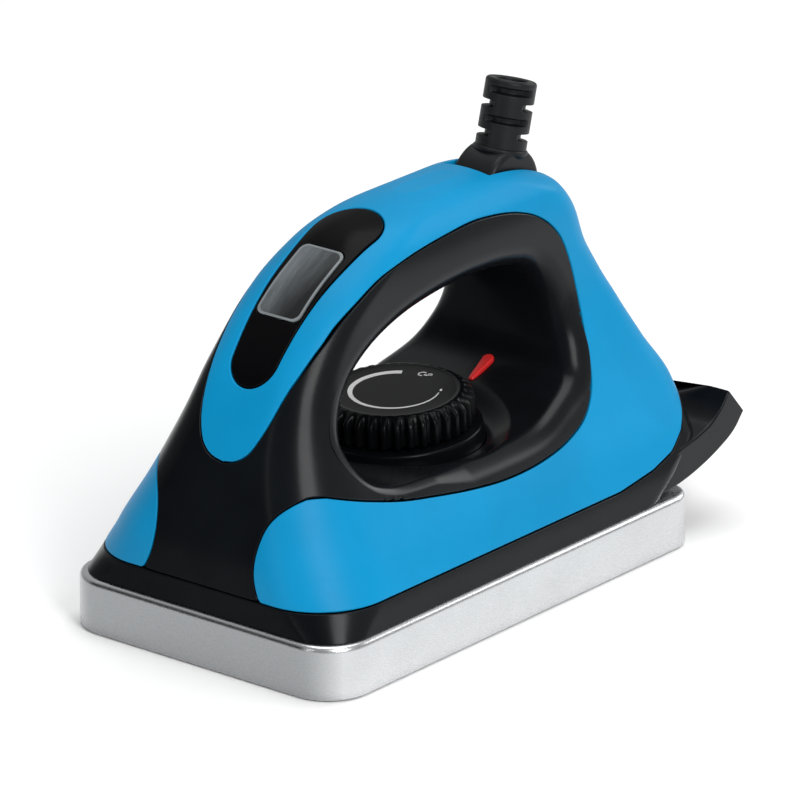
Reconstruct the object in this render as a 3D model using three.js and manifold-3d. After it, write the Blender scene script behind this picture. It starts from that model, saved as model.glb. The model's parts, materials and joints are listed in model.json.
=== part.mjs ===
// Waxing iron for skis and snowboards, as separate pieces. Millimetres, +Z up, nose towards -Y.
// The origin is the centre of the soleplate's running face.
import * as THREE from 'three';
import { mergeVertices } from 'three/addons/utils/BufferGeometryUtils.js';
import Module from 'manifold-3d';

const wasm = await Module();
wasm.setup();

// ---------------------------------------------------------------- driving dimensions
const GAP = 0.3; // clearance between neighbouring pieces
const SOLE = { width: 88, length: 144, height: 14, frontRadius: 12, rearRadius: 8, bevel: 1.3 };
const POCKET = { width: 46, length: 112, floor: 8.5 };
const COVER_WALL = 2.3;
const HOUSING_WALL = 2.4;
const SKIRT_TOP = 20.5; // joint between the lower and the upper housing
const FLOOR = { bottom: 17, top: 19.3 }; // floor of the lower housing
const DIAL = { y: 4.7, top: 49.9, tilt: 4, radius: 19.9, height: 8, teeth: 36, toothDepth: 1.3 };
const DECK_BOWL = { floorRadius: 23.3, floor: -11.6, radius: 27, edge: -10.2, top: -6 };
const SWIVEL = {
  y: 44, z: 93, radius: 10.5, halfWidth: 6.4, clearance: 0.8, lean: 15, pinRadius: 1.5, pinReach: 8.8,
};
const BOOT = { radius: 6.5, bore: 4, start: 9.6, end: 27, slots: [13.1, 16.8, 20.5, 24.2], turn: 39 };
const DISPLAY = { y: -31.8, z: 88.1, slope: 33.4 };
const BEZEL = { length: 58, frontWidth: 14, rearWidth: 19.4, shift: -0.5, reach: 12 };
const LENS = { width: 13.2, length: 22.4, corner: 2, thickness: 1.6, proud: 0.2 };
const LED_WINDOW = { width: 16, length: 30 };
const POINTER = {
  y: 38.9, z: 45.8, slope: 26, length: 9.6, narrow: 1.6, wide: 3.2, bottom: -3.4, top: 0.7,
};
const SCREW = { shaft: 2, head: 3.8, headHeight: 2.4, slot: 0.9 };
const COLLAR = { radius: 22.1, top: -8.3, bottom: -13.6 };
const SHAFT_RADIUS = 3;
const DISH = { radius: 70, bottom: 26.8 }; // hollow across the tail's top
const TERMINAL_X = 15; // heater ends, left and right

// Body shape by height: nose line, back line, half width, and the two half axes of the
// elliptical corners in front and behind.
const BODY = [
  { z: 14.3, front: -70.5, back: 66, half: 42.5, fx: 12, fy: 12, rx: 12, ry: 12 },
  { z: 20.5, front: -70.2, back: 75, half: 41, fx: 18, fy: 19, rx: 10, ry: 11 },
  { z: 27, front: -69.4, back: 80.6, half: 38.3, fx: 18.5, fy: 23, rx: 5, ry: 7 },
  { z: 39, front: -65.8, back: 81.2, half: 31.5, fx: 16.5, fy: 22, rx: 6, ry: 8 },
  { z: 50, front: -62, back: 77.3, half: 25.5, fx: 15, fy: 18, rx: 7.5, ry: 8 },
  { z: 60, front: -57.4, back: 73, half: 21, fx: 12.5, fy: 14, rx: 7.5, ry: 7.5 },
  { z: 69, front: -51.9, back: 68.4, half: 18.6, fx: 10, fy: 12, rx: 8, ry: 8 },
  { z: 78, front: -44.6, back: 63.9, half: 17.5, fx: 10, fy: 12, rx: 8.6, ry: 9 },
  { z: 86, front: -35.8, back: 61.2, half: 17, fx: 11, fy: 13, rx: 8.6, ry: 9.5 },
  { z: 93, front: -24.5, back: 57, half: 15.6, fx: 11.5, fy: 14, rx: 9.5, ry: 10.9 },
  { z: 97.5, front: -15.5, back: 52.3, half: 12.6, fx: 11, fy: 15, rx: 11, ry: 12.5 },
  { z: 100.2, front: -3.5, back: 40, half: 8.3, fx: 8, fy: 15, rx: 8, ry: 14 },
  { z: 101.2, front: 6, back: 27, half: 3.5, fx: 3.5, fy: 8, rx: 3.5, ry: 8 },
];
const BODY_TOP = BODY[BODY.length - 1].z;
const BODY_LEVELS = [17.4, 20.5, 24, 28, 34, 41, 48, 56, 65, 74, 82, 88.5, 93.5, 97, 99.3, 100.5];
const CAVITY_LEVELS = [24, 32, 42, 54, 66, 78, 88, 93];

// Throat of the handle opening on the middle plane, as (y, z).
const THROAT = [
  [30, 78], [17, 79], [2, 78.2], [-12, 75.8], [-24, 71.6], [-33, 66], [-39, 59], [-41.5, 51.5],
  [-39.5, 45.5], [-33, 42.2], [-18, 40.6], [5, 39.8], [24, 40.6], [34.6, 43.7], [43.2, 47.9],
  [45.5, 53], [46, 60], [44.5, 68], [39.5, 75],
];
// Black field round the opening, as (y, z): everything inside it is housing, not cover.
const FIELD = [
  [-50, 71.5], [-41.3, 79], [-31.3, 85.5], [-20.3, 89.8], [-8.9, 92], [6.9, 93.6], [19.3, 94],
  [33.3, 92], [42, 88.4], [48.9, 82], [52.4, 74], [53.6, 64], [52.3, 54.5], [48.8, 45.8], [42.4, 39.7],
  [33.1, 36.2], [21, 34.3], [7.2, 34], [-6, 35.2], [-21, 37.9], [-40.2, 41.9], [-54, 45],
];
const FIELD_FRONT = [[-64, 46], [-80, 46], [-80, 72]];
// Half outlines of the blue tongue and of the black nose, seen from the front, as (x, z).
const TONGUE = [
  [0, 50.3], [3.8, 51.1], [7, 53.3], [9.2, 57], [10.9, 61.5], [12, 66], [13, 71.5], [14, 77.8],
];
const NOSE = [[18.6, 20], [16.2, 26], [15.8, 32], [17.5, 39], [20.6, 43], [24.8, 45.6], [34, 46.4]];

// ---------------------------------------------------------------- geometry helpers
const vec = (x, y, z) => new THREE.Vector3(x, y, z);

// Monotone cubic through the body stations, for one of their keys.
function bodyValue(key, z) {
  const height = THREE.MathUtils.clamp(z, BODY[0].z, BODY_TOP);
  let i = BODY.findIndex((station) => station.z >= height) - 1;
  i = THREE.MathUtils.clamp(i, 0, BODY.length - 2);
  const rise = (k) => (BODY[k + 1][key] - BODY[k][key]) / (BODY[k + 1].z - BODY[k].z);
  const slope = (k) => {
    if (k === 0) return rise(0);
    if (k === BODY.length - 1) return rise(k - 1);
    const [before, after] = [rise(k - 1), rise(k)];
    return before * after <= 0 ? 0 : (2 * before * after) / (before + after);
  };
  const step = BODY[i + 1].z - BODY[i].z;
  const t = (height - BODY[i].z) / step;
  const [a, b] = [BODY[i][key], BODY[i + 1][key]];
  return a * (2 * t ** 3 - 3 * t ** 2 + 1) + slope(i) * step * (t ** 3 - 2 * t ** 2 + t)
    + b * (3 * t ** 2 - 2 * t ** 3) + slope(i + 1) * step * (t ** 3 - t ** 2);
}

// Rectangle with four elliptical corners, counter-clockwise, as plan points.
function planOutline({ front, back, half, fx, fy, rx, ry }, steps = 7) {
  const corners = [
    { x: half - fx, y: front + fy, a: fx, b: fy, from: -90 },
    { x: half - rx, y: back - ry, a: rx, b: ry, from: 0 },
    { x: rx - half, y: back - ry, a: rx, b: ry, from: 90 },
    { x: fx - half, y: front + fy, a: fx, b: fy, from: 180 },
  ];
  return corners.flatMap(({ x, y, a, b, from }) => Array.from({ length: steps + 1 }, (_, k) => {
    const angle = THREE.MathUtils.degToRad(from + (90 * k) / steps);
    return [x + a * Math.cos(angle), y + b * Math.sin(angle)];
  }));
}

// Closed body through a stack of rings with equal point counts, capped by fans.
function loft(rings) {
  const count = rings[0].length;
  const points = rings.flat();
  const middle = (ring) => ring.reduce((sum, p) => sum.add(p), vec(0, 0, 0)).divideScalar(count);
  points.push(middle(rings[0]), middle(rings[rings.length - 1]));
  const index = [];
  for (let r = 0; r < rings.length - 1; r += 1) {
    for (let k = 0; k < count; k += 1) {
      const [a, b] = [r * count + k, r * count + ((k + 1) % count)];
      index.push(a, b, b + count, a, b + count, a + count);
    }
  }
  const last = (rings.length - 1) * count;
  for (let k = 0; k < count; k += 1) {
    const next = (k + 1) % count;
    index.push(points.length - 2, next, k, points.length - 1, last + k, last + next);
  }
  const geometry = new THREE.BufferGeometry().setFromPoints(points);
  geometry.setIndex(index);
  return geometry;
}

// three.js geometry to manifold solid, turned the right way out.
function solid(geometry) {
  const bare = new THREE.BufferGeometry();
  bare.setAttribute('position', geometry.getAttribute('position'));
  if (geometry.index) bare.setIndex(geometry.index);
  const merged = mergeVertices(bare, 1e-4);
  const make = (triVerts) => new wasm.Manifold(new wasm.Mesh({
    numProp: 3, vertProperties: new Float32Array(merged.attributes.position.array), triVerts,
  }));
  const triangles = new Uint32Array(merged.index.array);
  const first = make(triangles);
  return first.volume() > 0 ? first : make(triangles.reverse());
}

// Manifold solid back to a three.js geometry.
function geometryOf(body) {
  const mesh = body.getMesh();
  const geometry = new THREE.BufferGeometry();
  geometry.setAttribute('position', new THREE.BufferAttribute(mesh.vertProperties, 3));
  geometry.setIndex(new THREE.BufferAttribute(mesh.triVerts, 1));
  geometry.computeVertexNormals();
  return geometry;
}

const union = (...bodies) => bodies.reduce((sum, body) => sum.add(body));
const cut = (body, ...tools) => tools.reduce((rest, tool) => rest.subtract(tool), body);

function block(x0, x1, y0, y1, z0, z1) {
  const geometry = new THREE.BoxGeometry(x1 - x0, y1 - y0, z1 - z0);
  return solid(geometry.translate((x0 + x1) / 2, (y0 + y1) / 2, (z0 + z1) / 2));
}

// Turned body about the Z axis from a closed (radius, height) outline.
function turned(outline, segments = 32) {
  const points = outline.map(([r, z]) => new THREE.Vector2(r, z));
  const onAxis = outline[0][0] === 0 && outline[outline.length - 1][0] === 0;
  if (!onAxis) points.push(points[0].clone());
  return solid(new THREE.LatheGeometry(points, segments).rotateX(Math.PI / 2));
}

const rod = (radius, z0, z1, segments = 20) => turned(
  [[0, z0], [radius, z0], [radius, z1], [0, z1]], segments);
const tube = (outer, inner, z0, z1, segments = 20) => turned(
  [[inner, z0], [outer, z0], [outer, z1], [inner, z1]], segments);

// Prism of a flat outline. Plane 'side' reads it as (y, z) along X, 'front' as (x, z) along Y,
// and 'plan' as (x, y) along Z.
function prism(outline, plane, from, to) {
  const shape = new THREE.Shape(outline.map(([a, b]) => new THREE.Vector2(a, b)));
  const geometry = new THREE.ExtrudeGeometry(shape, { depth: to - from, bevelEnabled: false, steps: 1 });
  geometry.translate(0, 0, from);
  const basis = {
    side: [vec(0, 1, 0), vec(0, 0, 1), vec(1, 0, 0)],
    front: [vec(1, 0, 0), vec(0, 0, 1), vec(0, -1, 0)],
    plan: [vec(1, 0, 0), vec(0, 1, 0), vec(0, 0, 1)],
  }[plane];
  return solid(geometry.applyMatrix4(new THREE.Matrix4().makeBasis(...basis)));
}

// Smooth curve through points, moved sideways by an offset (positive is to its right).
function smooth(points, count, offset = 0, closed = false) {
  const curve = new THREE.CatmullRomCurve3(points.map(([a, b]) => vec(a, b, 0)), closed, 'centripetal');
  return Array.from({ length: closed ? count : count + 1 }, (_, k) => {
    const p = curve.getPointAt(k / count);
    const t = curve.getTangentAt(k / count);
    return [p.x + t.y * offset, p.y - t.x * offset];
  });
}

// Half outline and its mirror image, with a point on the middle line kept once.
function mirrored(half) {
  const snapped = half.map(([x, z]) => [Math.abs(x) < 0.2 ? 0 : x, z]);
  const other = snapped.filter(([x]) => x !== 0).map(([x, z]) => [-x, z]);
  return [...snapped, ...other.reverse()];
}

function turnedAbout(body, { x = 0, y = 0, z = 0, degrees = 0 }) {
  return body.rotate([degrees, 0, 0]).translate([x, y, z]);
}

// Rounded bar, seen from above: a slot with half round ends, centred on the origin.
function slotOutline(length, startWidth, endWidth = startWidth, steps = 8) {
  const ends = [
    { y: (length - endWidth) / 2, r: endWidth / 2, from: 0 },
    { y: (startWidth - length) / 2, r: startWidth / 2, from: 180 },
  ];
  return ends.flatMap(({ y, r, from }) => Array.from({ length: steps + 1 }, (_, k) => {
    const angle = THREE.MathUtils.degToRad(from + (180 * k) / steps);
    return [r * Math.cos(angle), y + r * Math.sin(angle)];
  }));
}

// ---------------------------------------------------------------- shared body shapes
// Section of the body at one height, moved inwards square to its surface.
function bodySection(z, inset, steps) {
  const moved = (key) => {
    const rate = (bodyValue(key, z + 0.2) - bodyValue(key, z - 0.2)) / 0.4;
    return inset * Math.min(2.6, Math.hypot(1, rate));
  };
  const corner = (key) => Math.max(0.8, bodyValue(key, z) - 0.7 * inset);
  const half = Math.max(1.6, bodyValue('half', z) - moved('half'));
  const section = {
    front: bodyValue('front', z) + moved('front'),
    back: bodyValue('back', z) - moved('back'),
    half,
    fx: Math.min(corner('fx'), half),
    rx: Math.min(corner('rx'), half),
    fy: corner('fy'),
    ry: corner('ry'),
  };
  return planOutline(section, steps).map(([x, y]) => vec(x, y, z));
}

function bodySolid(inset, levels = BODY_LEVELS, steps = 5) {
  const top = BODY_TOP - inset;
  const heights = [BODY[0].z, ...levels.filter((z) => z < top - 0.5), top];
  return solid(loft(heights.map((z) => bodySection(z, inset, steps))));
}

// The handle opening: straight in the middle and rounded outwards to both sides.
function openingSolid(grow, count = 34, angles = [0, 30, 60, 88]) {
  const points = smooth(THROAT, count, 0, true);
  const outward = points.map((_, k) => {
    const [before, after] = [points.at(k - 1), points[(k + 1) % count]];
    const t = new THREE.Vector2(after[0] - before[0], after[1] - before[1]).normalize();
    return [t.y, -t.x];
  });
  const edgeRadius = (z) => 4 + 2.5 * THREE.MathUtils.smoothstep(z, 42, 56);
  const ring = (side, degrees, beyond) => points.map(([y, z], k) => {
    const r = edgeRadius(z);
    const angle = THREE.MathUtils.degToRad(degrees);
    const out = grow + r * (1 - Math.cos(angle));
    const [oy, oz] = [y + outward[k][0] * out, z + outward[k][1] * out];
    const x = bodyValue('half', oz) - r + r * Math.sin(angle) + beyond;
    return vec(side * x, oy, oz);
  });
  return solid(loft([
    ring(-1, 88, 12),
    ...[...angles].reverse().map((angle) => ring(-1, angle, 0)),
    ...angles.map((angle) => ring(1, angle, 0)),
    ring(1, 88, 12),
  ]));
}

// Solids that split the outer skin between the blue cover and the black housing.
function fieldSolid(offset) {
  const outline = [...smooth(FIELD, 40, offset), ...FIELD_FRONT];
  const tongue = prism(mirrored(smooth(TONGUE, 14, offset)), 'front', 47, 80);
  const crown = block(-12 - offset, 12 + offset, -80, -20, 66, 100);
  return cut(prism(outline, 'side', -60, 60), tongue, crown);
}

function noseSolid(offset) {
  const outline = mirrored(smooth(NOSE, 12, offset).reverse());
  return prism(outline, 'front', 42, 80);
}

// A piece modelled in the display's own frame: x across, y along the window, z out of the skin.
const inDisplayFrame = (body) => turnedAbout(body, { y: DISPLAY.y, z: DISPLAY.z, degrees: DISPLAY.slope });
const inDialFrame = (body) => turnedAbout(body, { y: DIAL.y, z: DIAL.top, degrees: DIAL.tilt });
const inPointerFrame = (body) => turnedAbout(body, { y: POINTER.y, z: POINTER.z, degrees: POINTER.slope });
const inSwivelFrame = (body) => turnedAbout(body, { y: SWIVEL.y, z: SWIVEL.z, degrees: -SWIVEL.lean });

const pointerOutline = (clear) => slotOutline(
  POINTER.length + 2 * clear, POINTER.narrow + 2 * clear, POINTER.wide + 2 * clear);

const bodyOuter = bodySolid(0);
const bodyUnderCover = bodySolid(COVER_WALL);
const bodyCore = bodySolid(COVER_WALL + GAP);
const bodyCavity = bodySolid(COVER_WALL + GAP + HOUSING_WALL, CAVITY_LEVELS, 4);
const opening = openingSolid(0);
const openingWall = openingSolid(HOUSING_WALL, 22, [0, 45, 88]);
const swivelSlot = (clear) => block(
  -SWIVEL.halfWidth - clear, SWIVEL.halfWidth + clear,
  SWIVEL.y - SWIVEL.radius - clear, SWIVEL.y + SWIVEL.radius + clear,
  SWIVEL.z - SWIVEL.radius - clear, 110);
const bezelOutline = (clear) => slotOutline(
  BEZEL.length + 2 * clear, BEZEL.frontWidth + 2 * clear, BEZEL.rearWidth + 2 * clear);
const bezelTool = (clear, depth) => inDisplayFrame(
  prism(bezelOutline(clear), 'plan', -depth, 20).translate([0, BEZEL.shift, 0]));

const lensOutline = (clear) => planOutline({
  front: -LENS.length / 2 - clear,
  back: LENS.length / 2 + clear,
  half: LENS.width / 2 + clear,
  fx: LENS.corner,
  fy: LENS.corner,
  rx: LENS.corner,
  ry: LENS.corner,
}, 4);

// Fixing points, as (x, y).
const SOLE_SCREWS = [[-27, -50], [27, -50], [-27, 52], [27, 52]];
const HOUSING_SCREWS = [[-33, -34], [33, -34], [-33, 34], [33, 34]];

// ---------------------------------------------------------------- pieces: hot side
function soleplate() {
  const outline = (z, inset) => planOutline({
    front: -SOLE.length / 2 + inset, back: SOLE.length / 2 - inset, half: SOLE.width / 2 - inset,
    fx: SOLE.frontRadius - inset, fy: SOLE.frontRadius - inset,
    rx: SOLE.rearRadius - inset, ry: SOLE.rearRadius - inset,
  }).map(([x, y]) => vec(x, y, z));
  const levels = [[0, 0.8], [0.8, 0], [SOLE.height - SOLE.bevel, 0], [SOLE.height, SOLE.bevel]];
  const plate = solid(loft(levels.map(([z, inset]) => outline(z, inset))));
  const pocket = block(
    -POCKET.width / 2, POCKET.width / 2, -POCKET.length / 2, POCKET.length / 2, POCKET.floor, 20);
  const holes = SOLE_SCREWS.map(([x, y]) => rod(SCREW.shaft + GAP, 6, 20, 12).translate([x, y, 0]));
  return cut(plate, pocket, ...holes);
}

// U-shaped sheathed heater lying in the plate's pocket.
function heatingElement() {
  const [x, ends, bend, z] = [TERMINAL_X, 44, -34, POCKET.floor + GAP + 2.6];
  const leg = (side) => new THREE.LineCurve3(
    vec(side * x, side > 0 ? bend : ends, z), vec(side * x, side > 0 ? ends : bend, z));
  const path = new THREE.CurvePath();
  path.add(leg(-1));
  const arc = Array.from({ length: 13 }, (_, k) => {
    const angle = Math.PI + (Math.PI * k) / 12;
    return vec(x * Math.cos(angle), bend + x * Math.sin(angle), z);
  });
  path.add(new THREE.CatmullRomCurve3(arc));
  path.add(leg(1));
  const section = new THREE.Shape().absarc(0, 0, 2.5, 0, 2 * Math.PI);
  return solid(new THREE.ExtrudeGeometry(section, {
    steps: 26, curveSegments: 6, extrudePath: path, bevelEnabled: false,
  }));
}

function elementTerminal(side) {
  const x = side * TERMINAL_X;
  const stud = rod(2.2, 0, 9, 16).rotate([-90, 0, 0]).translate([x, 44.4, POCKET.floor + 3]);
  const tab = block(x - 2, x + 2, 51.6, 52.9, 9.5, 20.6);
  return union(stud, tab);
}

// Ways through the floor for the two heater tabs and the temperature probe.
function floorPassages() {
  const tabs = [-TERMINAL_X, TERMINAL_X].map((x) => block(x - 4, x + 4, 49.5, 55, 10, 24));
  return [...tabs, block(-2.4, 2.4, 26, 30.6, 10, 24)];
}

// Flat layer between the plate and the housing, with holes for all that passes it.
function sheet(z0, z1, inset) {
  const outline = planOutline({
    front: -66 + inset, back: 60 - inset, half: 38 - inset, fx: 10, fy: 10, rx: 8, ry: 8,
  }, 5);
  const body = prism(outline, 'plan', z0, z1);
  const posts = [...SOLE_SCREWS, ...HOUSING_SCREWS].map(
    ([x, y]) => rod(4.6, 10, 24, 12).translate([x, y, 0]));
  const button = rod(3.5, 10, 24, 16).translate([0, 40, 0]);
  return cut(body, ...posts, ...floorPassages(), button);
}

const insulationPad = () => sheet(SOLE.height + GAP, SOLE.height + 1.4, 0);
const heatShield = () => sheet(15.8, 16.5, 0.5);
const standoff = () => tube(4, SCREW.shaft + GAP, SOLE.height + GAP, FLOOR.bottom - GAP, 12);

// Pan-head screw with a slot, its head resting at height z.
function screw(z, length, upsideDown = false) {
  const body = turned([
    [0, -length], [SCREW.shaft, -length], [SCREW.shaft, 0], [SCREW.head, 0],
    [SCREW.head, SCREW.headHeight * 0.6], [SCREW.head * 0.75, SCREW.headHeight], [0, SCREW.headHeight],
  ], 12);
  const half = SCREW.slot / 2;
  const slotted = cut(body, block(-half, half, -5, 5, SCREW.headHeight - SCREW.slot, 5));
  return slotted.rotate([upsideDown ? 180 : 0, 0, 0]).translate([0, 0, z]);
}

function temperatureSensor() {
  const bead = rod(2.6, 0, 7, 16).rotate([-90, 0, 0]).translate([0, 22, POCKET.floor + GAP + 2.6]);
  return union(bead, block(-1.2, 1.2, 27.6, 29, 10, 21.4));
}

function thermalCutout() {
  return union(
    rod(6.8, POCKET.floor + GAP, 14, 24),
    rod(3, 13.9, FLOOR.bottom - GAP, 16),
  ).translate([0, 40, 0]);
}

// ---------------------------------------------------------------- pieces: housings
// Side view of the skirt and its upturned tail.
function tailOutline() {
  const under = smooth(
    [[58, 14.3], [69.9, 15], [78.4, 16.9], [86.1, 19.6], [92.3, 22.8], [96.3, 27]], 10);
  const over = smooth([[89.7, 34.4], [86.7, 30.6], [82.6, 27.6], [78, 25.9], [72.8, 25.2]], 8);
  return [...under, ...over, [67, 23.4], [58, 21.4]];
}

function lowerHousing() {
  const lip = [
    [-90, 10], [96, 10], [96, 30], [75, 30], [72.7, 27.6], [67, 24.2], [58, 22], [44, SKIRT_TOP],
    [-90, SKIRT_TOP],
  ];
  const skirt = bodyOuter.intersect(prism(lip, 'side', -60, 60));
  const plan = planOutline({ front: 50, back: 96.5, half: 40.2, fx: 3, fy: 3, rx: 2, ry: 2 });
  const tail = prism(tailOutline(), 'side', -60, 60).intersect(prism(plan, 'plan', 10, 40));
  const dish = rod(DISH.radius, -60, 60, 64).rotate([-90, 0, 0])
    .translate([0, 96, DISH.bottom + DISH.radius]);
  const upperSpace = bodyUnderCover.intersect(block(-60, 60, -90, 100, SKIRT_TOP, 60));
  const inner = bodySolid(2.6);
  const below = inner.intersect(block(-60, 60, -90, 62, 10, FLOOR.bottom));
  const above = inner.intersect(block(-60, 60, -90, 62, FLOOR.top, 30));
  const holes = [...SOLE_SCREWS, ...HOUSING_SCREWS].map(
    ([x, y]) => rod(SCREW.shaft + GAP, 10, 24, 12).translate([x, y, 0]));
  return cut(union(skirt, cut(tail, dish)), upperSpace, below, above, ...holes, ...floorPassages());
}

function upperHousing() {
  const aboveSkirt = block(-60, 60, -90, 100, SKIRT_TOP + GAP, 120);
  const skin = bodyOuter.intersect(union(fieldSolid(GAP), noseSolid(-GAP)));
  const shell = union(bodyCore, skin).intersect(aboveSkirt);
  const bosses = HOUSING_SCREWS.map(
    ([x, y]) => rod(4.4, SKIRT_TOP + GAP, 31, 16).translate([x, y, 0]));
  const posts = union(...bosses).intersect(bodyCore);
  const bores = HOUSING_SCREWS.map(
    ([x, y]) => rod(SCREW.shaft + GAP, 10, 29, 12).translate([x, y, 0]));
  const bowl = inDialFrame(turned([
    [0, DECK_BOWL.floor - 0.8], [DECK_BOWL.floorRadius, DECK_BOWL.floor],
    [DECK_BOWL.radius, DECK_BOWL.edge], [DECK_BOWL.radius + 2, DECK_BOWL.top], [0, DECK_BOWL.top],
  ], 40));
  const collarHole = inDialFrame(rod(COLLAR.radius + GAP, -26, 2, 40));
  const bowlWall = inDialFrame(rod(DECK_BOWL.radius + 2, DECK_BOWL.floor - 3, 2, 40));
  const hollow = union(cut(shell, cut(bodyCavity, openingWall, bowlWall)), posts);
  const window = inDisplayFrame(block(
    -LED_WINDOW.width / 2, LED_WINDOW.width / 2, -LED_WINDOW.length / 2, LED_WINDOW.length / 2,
    -20, 20));
  const pointerSlot = inPointerFrame(prism(pointerOutline(GAP), 'plan', -8, 8));
  return cut(
    hollow, opening, bowl, collarHole, bezelTool(GAP, 2.2), window, pointerSlot,
    swivelSlot(SWIVEL.clearance), swivelAxle(SWIVEL.pinRadius + GAP, SWIVEL.pinReach + GAP), ...bores);
}

function handleCover() {
  const aboveSkirt = block(-60, 60, -90, 100, SKIRT_TOP + GAP, 120);
  const skin = cut(bodyOuter, bodyUnderCover).intersect(aboveSkirt);
  const rearLip = [
    [30, 10], [96, 10], [96, 32], [76.3, 32], [72.3, 28], [66.8, 24.6], [58, 22.4], [44, 20.9],
  ];
  return cut(
    skin, fieldSolid(0), noseSolid(0), prism(rearLip, 'side', -60, 60), opening,
    bezelTool(GAP, BEZEL.reach), swivelSlot(SWIVEL.clearance));
}

// ---------------------------------------------------------------- pieces: display
function displayBezel() {
  const skin = cut(bodyOuter, bodyUnderCover).intersect(bezelTool(0, BEZEL.reach));
  const seat = inDisplayFrame(prism(lensOutline(GAP), 'plan', -12, 12));
  return cut(skin, seat);
}

const displayLens = () => inDisplayFrame(
  prism(lensOutline(0), 'plan', -LENS.thickness, LENS.proud));
const displayModule = () => inDisplayFrame(block(-6, 6, -10, 10, -5.4, -2));
const displayBoard = () => inDisplayFrame(block(-7.4, 7.4, -14, 14, -7.4, -5.8));

// ---------------------------------------------------------------- pieces: dial
function thermostatDial() {
  const steps = DIAL.teeth * 4;
  const outline = Array.from({ length: steps }, (_, k) => {
    const angle = (2 * Math.PI * k) / steps;
    const radius = k % 4 < 2 ? DIAL.radius : DIAL.radius - DIAL.toothDepth;
    return [radius * Math.cos(angle), radius * Math.sin(angle)];
  });
  const ring = prism(outline, 'plan', -DIAL.height, 0);
  const bevel = turned([
    [DIAL.radius - 3, 0.6], [DIAL.radius - 3, 0], [DIAL.radius, -1.9], [DIAL.radius + 2, -1.9],
    [DIAL.radius + 2, 0.6]], 36);
  const under = tube(16.2, 4.6, -DIAL.height - 1, -2.2, 32);
  const bore = rod(SHAFT_RADIUS + GAP, -DIAL.height - 1, -2.2, 16);
  return inDialFrame(cut(ring, bevel, under, bore));
}

const dialCollar = () => inDialFrame(turned([
  [3.9, COLLAR.bottom], [20.6, COLLAR.bottom], [COLLAR.radius, -12.8], [21.6, -8.7],
  [19.6, COLLAR.top], [18.9, -8.7], [18.9, -11.6], [3.9, -11.6],
], 40));

function dialPotentiometer() {
  const can = tube(8.4, SHAFT_RADIUS + GAP, -21.4, -13.9, 24);
  const thread = tube(3.6, SHAFT_RADIUS + GAP, -14.1, -9.6, 20);
  const pins = block(-6, 6, 7.4, 12, -20.6, -19.4);
  return inDialFrame(union(can, thread, pins));
}

const dialNut = () => inDialFrame(cut(rod(6, -11.3, -9.3, 6), rod(3.6 + GAP, -12, -9, 20)));
const dialShaft = () => inDialFrame(rod(SHAFT_RADIUS, -21, -2.5, 16));

const pilotPointer = () => inPointerFrame(
  prism(pointerOutline(0), 'plan', POINTER.bottom, POINTER.top));

const pilotLamp = () => inPointerFrame(turned([
  [0, -10.4], [2.4, -10.4], [2.4, -5.2], [1.8, -4.2], [0, -3.7]], 16).translate([0, 0.6, 0]));

// ---------------------------------------------------------------- pieces: cord entry
function swivelDrum() {
  const [r, w] = [SWIVEL.radius, SWIVEL.halfWidth];
  const drum = turned([
    [0, -w], [r - 1.6, -w], [r - 0.4, 0.6 - w], [r, 2.2 - w], [r, w - 2.2], [r - 0.4, w - 0.6],
    [r - 1.6, w], [0, w],
  ], 32).rotate([0, 90, 0]);
  const pinWall = 2.6;
  const cordAbove = rod(BOOT.bore, pinWall, 20);
  const cordBelow = rod(BOOT.bore, -20, -pinWall);
  const socket = rod(BOOT.radius + GAP, BOOT.start - GAP, 20, 28);
  const pinHole = rod(SWIVEL.pinRadius + GAP, -20, 20, 14).rotate([0, 90, 0]);
  return inSwivelFrame(cut(drum, socket, pinHole, cordAbove, cordBelow));
}

// Slotted boot: pairs of opposed slots, each pair a quarter turn from the last.
function cordStrainRelief() {
  const body = turned([
    [BOOT.bore - 0.6, BOOT.start], [BOOT.radius, BOOT.start], [BOOT.radius, BOOT.end - 0.6],
    [BOOT.radius - 0.6, BOOT.end], [BOOT.bore, BOOT.end], [BOOT.bore - 0.6, BOOT.end - 1.4],
  ], 28);
  const slots = BOOT.slots.flatMap((z, k) => [0, 180].map((half) => {
    const turn = BOOT.turn + 90 * (k % 2) + half;
    return block(4.5, 9, -5.2, 5.2, z - 0.75, z + 0.75).rotate([0, 0, turn]);
  }));
  return inSwivelFrame(cut(body, ...slots));
}

const swivelAxle = (radius, reach) => rod(radius, -reach, reach, 14).rotate([0, 90, 0])
  .translate([0, SWIVEL.y, SWIVEL.z]);
const swivelPin = () => swivelAxle(SWIVEL.pinRadius, SWIVEL.pinReach);

// ---------------------------------------------------------------- pieces: electrics
function controlBoard() {
  const board = block(-26, 26, -50, 34, 22.4, 24);
  const probeNotch = block(-3, 3, 24, 34.5, 20, 26);
  const dialNotch = block(-10, 10, -4, 14, 20, 26);
  return cut(board, probeNotch, dialNotch);
}

const triac = () => union(block(-5, 5, -36, -32, 24.3, 34), block(-3.2, 3.2, -35, -33, 33.9, 36.5));

function heatSink() {
  const back = block(-14, 14, -31.6, -29.8, 24.3, 34.5);
  const fins = [-13, -8, -3, 3, 8, 13].map((x) => block(x - 0.6, x + 0.6, -29.9, -26.5, 24.3, 34.5));
  return union(back, ...fins);
}

const capacitor = () => rod(4, 24.3, 35.5, 20).translate([-16, -42, 0]);

function terminalBlock() {
  const wells = [-6, 0, 6].map((x) => rod(1.8, 25, 40, 12).translate([x, 57, 0]));
  return cut(block(-9, 9, 52, 62, 22, 32), ...wells);
}

const CLAMP_SCREWS = { x: 5, y: 52.8, head: 42.3 };

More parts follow.
